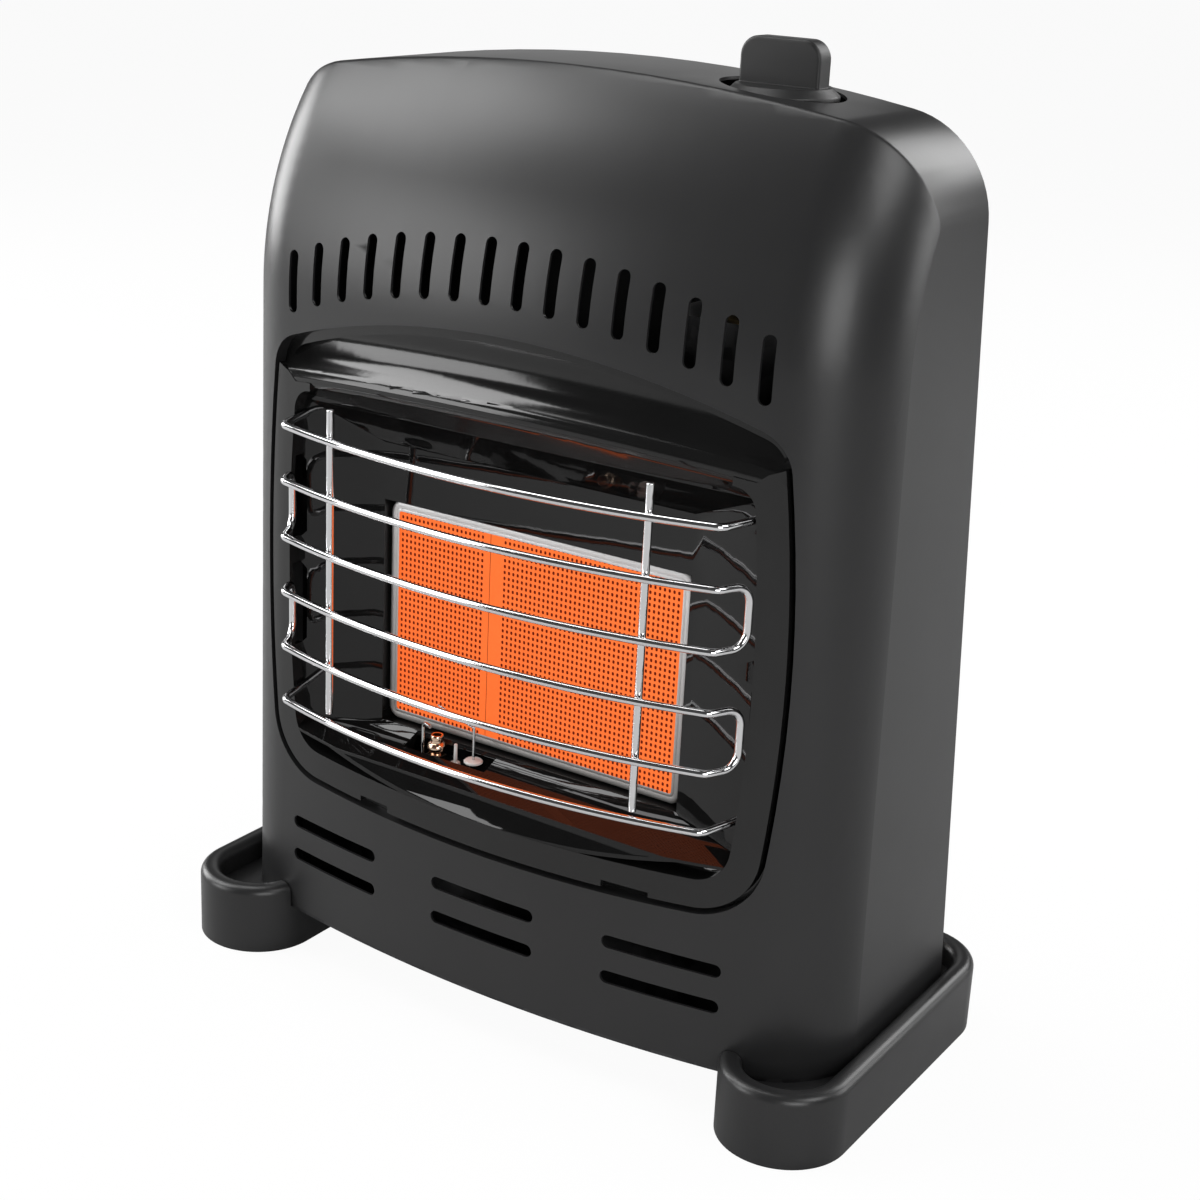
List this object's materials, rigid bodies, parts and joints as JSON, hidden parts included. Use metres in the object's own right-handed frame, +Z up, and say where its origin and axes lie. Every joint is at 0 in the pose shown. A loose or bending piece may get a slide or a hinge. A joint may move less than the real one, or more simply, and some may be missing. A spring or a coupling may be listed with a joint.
{
  "type": "portable propane heater",
  "caption": "Bowed black sheet-metal radiant gas heater on two moulded feet, with a ceramic plaque burner behind a chrome wire guard and a push-and-turn knob on top.",
  "frame": {"origin": "on the floor, at the middle of the overall width and depth", "axes": "+X to the user's right when facing the front, +Y from front to back, +Z up"},
  "size_m": [0.3174, 0.1712, 0.3985],
  "materials": {
    "cabinet_black": "satin black baked enamel on steel sheet",
    "bezel_gloss": "semi-gloss black enamel",
    "firebox_enamel": "high-gloss black porcelain enamel",
    "galvanised_steel": "bright galvanised sheet",
    "burner_steel": "bright stainless sheet",
    "ceramic_plaque": "porous ceramic plaque, glowing orange in use",
    "gasket_fibre": "white ceramic-fibre paper",
    "aluminised_tube": "dull aluminised steel tube",
    "brass": "machined brass",
    "guard_chrome": "bright chrome-plated wire",
    "knob_plastic": "fine-grained charcoal plastic",
    "foot_plastic": "satin black moulded plastic",
    "zinc_screw": "zinc-plated steel",
    "spring_steel": "plain spring wire",
    "aluminium_tube": "soft drawn aluminium tube",
    "lead_insulation": "white heat-proof sleeving",
    "pilot_steel": "polished stainless wire and rod",
    "white_porcelain": "glazed white insulator",
    "switch_plastic": "black switch housing"
  },
  "bodies": {
    "root": {"front_cover": "cabinet_black", "back_panel": "cabinet_black", "base_pan": "galvanised_steel", "left_foot": "foot_plastic", "right_foot": "foot_plastic", "foot_screws": "zinc_screw", "bezel": "bezel_gloss", "firebox": "firebox_enamel", "chassis": "galvanised_steel", "burner_frame": "burner_steel", "ceramic_tile_left": "ceramic_plaque", "ceramic_tile_right": "ceramic_plaque", "tile_gasket": "gasket_fibre", "burner_plenum": "burner_steel", "mixing_tube": "aluminised_tube", "injector": "brass", "injector_holder": "galvanised_steel", "guard_bottom_bar": "guard_chrome", "guard_top_bar": "guard_chrome", "guard_lower_loop": "guard_chrome", "guard_upper_loop": "guard_chrome", "guard_left_rod": "guard_chrome", "guard_right_rod": "guard_chrome", "return_spring": "spring_steel", "gas_valve": "brass", "valve_bracket": "galvanised_steel", "supply_tube": "aluminium_tube", "burner_tube": "aluminium_tube", "pilot_tube": "aluminium_tube", "ignition_lead": "lead_insulation", "inlet_fitting": "brass", "pilot_bracket": "galvanised_steel", "pilot_burner": "brass", "pilot_shield_wire": "pilot_steel", "spark_electrode": "white_porcelain", "thermocouple": "pilot_steel", "heat_shield": "galvanised_steel", "tip_over_switch": "switch_plastic", "cabinet_screws": "zinc_screw", "plenum_screws": "zinc_screw"},
    "press": {"spring_washer": "zinc_screw"},
    "knob": {"control_knob": "knob_plastic", "valve_stem": "zinc_screw"}
  },
  "joints": [
    {"name": "knob_press", "type": "slide", "parent": "root", "child": "press", "axis": [0, 0, -1], "range_m": [0, 0.004], "stiffness_N_per_m": 1200, "springref_m": -0.004, "deforming": ["return_spring"]},
    {"name": "knob_turn", "type": "hinge", "parent": "press", "child": "knob", "pos_m": [0.072, 0.003, 0.38], "axis": [0, 0, 1], "range_deg": [0, 180]}
  ]
}
